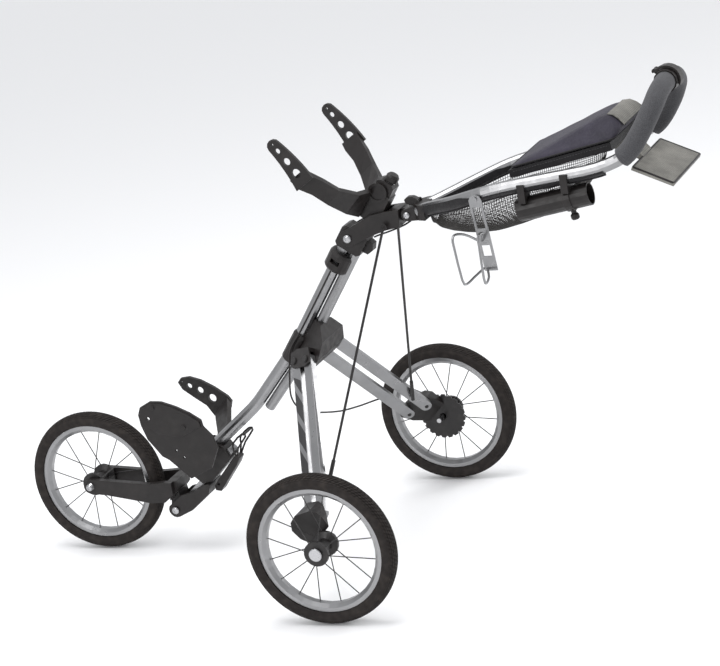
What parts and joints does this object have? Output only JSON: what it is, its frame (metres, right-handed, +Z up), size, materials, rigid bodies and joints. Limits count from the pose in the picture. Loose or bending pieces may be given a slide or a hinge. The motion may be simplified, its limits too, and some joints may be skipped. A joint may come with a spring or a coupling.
{
  "type": "golf push cart",
  "caption": "Three-wheel folding golf push cart with folding legs and handle, bag cradles, console tray, umbrella tube, bottle cage and parking brake.",
  "frame": {"origin": "on the ground, under the centre of the cart", "axes": "+X to the cart's left, +Y to the rear where the handle is, +Z up"},
  "size_m": [0.7922, 1.4973, 0.9334],
  "materials": {
    "aluminium": "satin",
    "bright_steel": "polished",
    "black_plastic": "fine grain",
    "black_steel": "satin black",
    "tyre_rubber": "matt",
    "grip_foam": "matt foam",
    "tray_fabric": "woven",
    "panel_grey": "woven",
    "mesh_grey": "open mesh"
  },
  "bodies": {
    "frame": {"brake_cable": "black_plastic", "fold_bolt": "bright_steel", "fork_pivot_bolt": "bright_steel", "front_post": "aluminium", "junction_block": "black_plastic", "leg_pin_front_left": "black_steel", "leg_pin_front_right": "black_steel", "leg_pin_rear_left": "black_steel", "leg_pin_rear_right": "black_steel", "lock_collar": "black_plastic", "lower_cradle_base": "black_plastic", "lower_cradle_pad_left": "black_plastic", "lower_cradle_pad_right": "black_plastic", "main_tube": "aluminium", "pivot_lugs": "black_plastic", "top_clamp": "black_plastic", "upper_cradle_base": "black_plastic", "upper_cradle_pad_left": "black_plastic", "upper_cradle_pad_right": "black_plastic", "upper_tube": "aluminium", "upper_tube_cap": "black_plastic"},
    "fold_arm": {"fold_arm": "black_plastic", "tilt_pin": "bright_steel"},
    "handle": {"bottle_cage": "aluminium", "brake_perch": "black_plastic", "console_tray": "tray_fabric", "handle_grip": "grip_foam", "handle_tube": "aluminium", "handle_yoke": "black_plastic", "mesh_bag": "mesh_grey", "scorecard_holder": "panel_grey", "umbrella_tube": "black_plastic"},
    "tilt_lever": {"tilt_lever": "black_plastic"},
    "brake_lever": {"brake_lever": "black_plastic"},
    "console_lid": {"console_lid": "tray_fabric"},
    "umbrella_knob": {"umbrella_knob": "black_plastic"},
    "fold_rod_left": {"fold_rod_left": "black_steel"},
    "fold_rod_right": {"fold_rod_right": "black_steel"},
    "leg_front_bar_left": {"leg_front_bar_left": "aluminium"},
    "leg_rear_bar_left": {"leg_rear_bar_left": "aluminium"},
    "leg_end_left": {"axle_left": "bright_steel", "leg_end_left": "black_plastic"},
    "wheel_left": {"rim_left": "aluminium", "spoked_hub_left": "black_steel", "tyre_left": "tyre_rubber"},
    "leg_front_bar_right": {"leg_front_bar_right": "aluminium"},
    "leg_rear_bar_right": {"leg_rear_bar_right": "aluminium"},
    "leg_end_right": {"axle_right": "bright_steel", "leg_end_right": "black_plastic"},
    "wheel_right": {"brake_ring_right": "black_steel", "rim_right": "aluminium", "spoked_hub_right": "black_steel", "tyre_right": "tyre_rubber"},
    "front_fork": {"axle_front": "bright_steel", "front_fork": "black_plastic"},
    "wheel_front": {"rim_front": "aluminium", "spoked_hub_front": "black_steel", "tyre_front": "tyre_rubber"},
    "front_latch": {"front_latch": "black_plastic"}
  },
  "joints": [
    {"name": "handle_fold", "type": "hinge", "parent": "frame", "child": "fold_arm", "pos_m": [0, 0.0636, 0.65], "axis": [1, 0, 0], "range_deg": [-68, 0]},
    {"name": "handle_tilt", "type": "hinge", "parent": "fold_arm", "child": "handle", "pos_m": [0, 0.1896, 0.688], "axis": [1, 0, 0], "range_deg": [-60, 15]},
    {"name": "tilt_lever_cam", "type": "hinge", "parent": "handle", "child": "tilt_lever", "pos_m": [0, 0.2086, 0.7095], "axis": [-1, 0, 0], "range_deg": [0, 70]},
    {"name": "brake_lever_pull", "type": "hinge", "parent": "handle", "child": "brake_lever", "pos_m": [0, 0.7011, 0.9243], "axis": [1, 0, 0], "range_deg": [0, 35]},
    {"name": "console_lid_open", "type": "hinge", "parent": "handle", "child": "console_lid", "pos_m": [0, 0.4356, 0.7835], "axis": [1, 0, 0], "range_deg": [0, 95]},
    {"name": "umbrella_knob_turn", "type": "hinge", "parent": "handle", "child": "umbrella_knob", "pos_m": [0.108, 0.54897, 0.69697], "axis": [0, 0.1667, -0.986], "continuous": true},
    {"name": "leg_front_bar_left_fold", "type": "hinge", "parent": "frame", "child": "leg_front_bar_left", "pos_m": [0.046, -0.0764, 0.409], "axis": [-0.6872, 0.5313, -0.4955], "range_deg": [0, 58.81]},
    {"name": "leg_rear_bar_left_fold", "type": "hinge", "parent": "frame", "child": "leg_rear_bar_left", "pos_m": [0.0644, -0.0429, 0.4194], "axis": [-0.6872, 0.5313, -0.4955], "range_deg": [0, 58.81]},
    {"name": "leg_end_left_swing", "type": "hinge", "parent": "leg_rear_bar_left", "child": "leg_end_left", "pos_m": [0.29045, 0.03653, 0.19103], "axis": [-0.6872, 0.5313, -0.4955], "range_deg": [-58.81, 0]},
    {"name": "wheel_left_spin", "type": "hinge", "parent": "leg_end_left", "child": "wheel_left", "pos_m": [0.3626, 0.0556, 0.15], "axis": [1, 0, 0], "continuous": true},
    {"name": "fold_rod_left_swing", "type": "hinge", "parent": "fold_arm", "child": "fold_rod_left", "pos_m": [0.0385, 0.1446, 0.6705], "axis": [0.8883, 0.3378, 0.3111], "range_deg": [0, 46.82]},
    {"name": "leg_front_bar_right_fold", "type": "hinge", "parent": "frame", "child": "leg_front_bar_right", "pos_m": [-0.046, -0.0764, 0.409], "axis": [-0.6872, -0.5313, 0.4955], "range_deg": [0, 58.81], "deforming": ["brake_cable"]},
    {"name": "leg_rear_bar_right_fold", "type": "hinge", "parent": "frame", "child": "leg_rear_bar_right", "pos_m": [-0.0644, -0.0429, 0.4194], "axis": [-0.6872, -0.5313, 0.4955], "range_deg": [0, 58.81]},
    {"name": "leg_end_right_swing", "type": "hinge", "parent": "leg_rear_bar_right", "child": "leg_end_right", "pos_m": [-0.29045, 0.03653, 0.19103], "axis": [-0.6872, -0.5313, 0.4955], "range_deg": [-58.81, 0]},
    {"name": "wheel_right_spin", "type": "hinge", "parent": "leg_end_right", "child": "wheel_right", "pos_m": [-0.3626, 0.0556, 0.15], "axis": [1, 0, 0], "continuous": true},
    {"name": "fold_rod_right_swing", "type": "hinge", "parent": "fold_arm", "child": "fold_rod_right", "pos_m": [-0.0385, 0.1446, 0.6705], "axis": [0.8883, -0.3378, -0.3111], "range_deg": [0, 46.82]},
    {"name": "front_fold", "type": "hinge", "parent": "frame", "child": "front_fork", "pos_m": [0, -0.4174, 0.091], "axis": [1, 0, 0], "range_deg": [0, 150]},
    {"name": "wheel_front_spin", "type": "hinge", "parent": "front_fork", "child": "wheel_front", "pos_m": [0, -0.5986, 0.15], "axis": [1, 0, 0], "continuous": true},
    {"name": "front_latch_release", "type": "hinge", "parent": "frame", "child": "front_latch", "pos_m": [0, -0.3179, 0.14], "axis": [-1, 0, 0], "range_deg": [0, 14]}
  ],
  "couplings": [
    {"joint": "leg_front_bar_left_fold", "follows": "handle_fold", "ratio": -0.86486},
    {"joint": "leg_rear_bar_left_fold", "follows": "handle_fold", "ratio": -0.86486},
    {"joint": "leg_end_left_swing", "follows": "handle_fold", "ratio": 0.86486},
    {"joint": "fold_rod_left_swing", "follows": "handle_fold", "ratio": -0.68855},
    {"joint": "leg_front_bar_right_fold", "follows": "handle_fold", "ratio": -0.86486},
    {"joint": "leg_rear_bar_right_fold", "follows": "handle_fold", "ratio": -0.86486},
    {"joint": "leg_end_right_swing", "follows": "handle_fold", "ratio": 0.86486},
    {"joint": "fold_rod_right_swing", "follows": "handle_fold", "ratio": -0.68855}
  ]
}
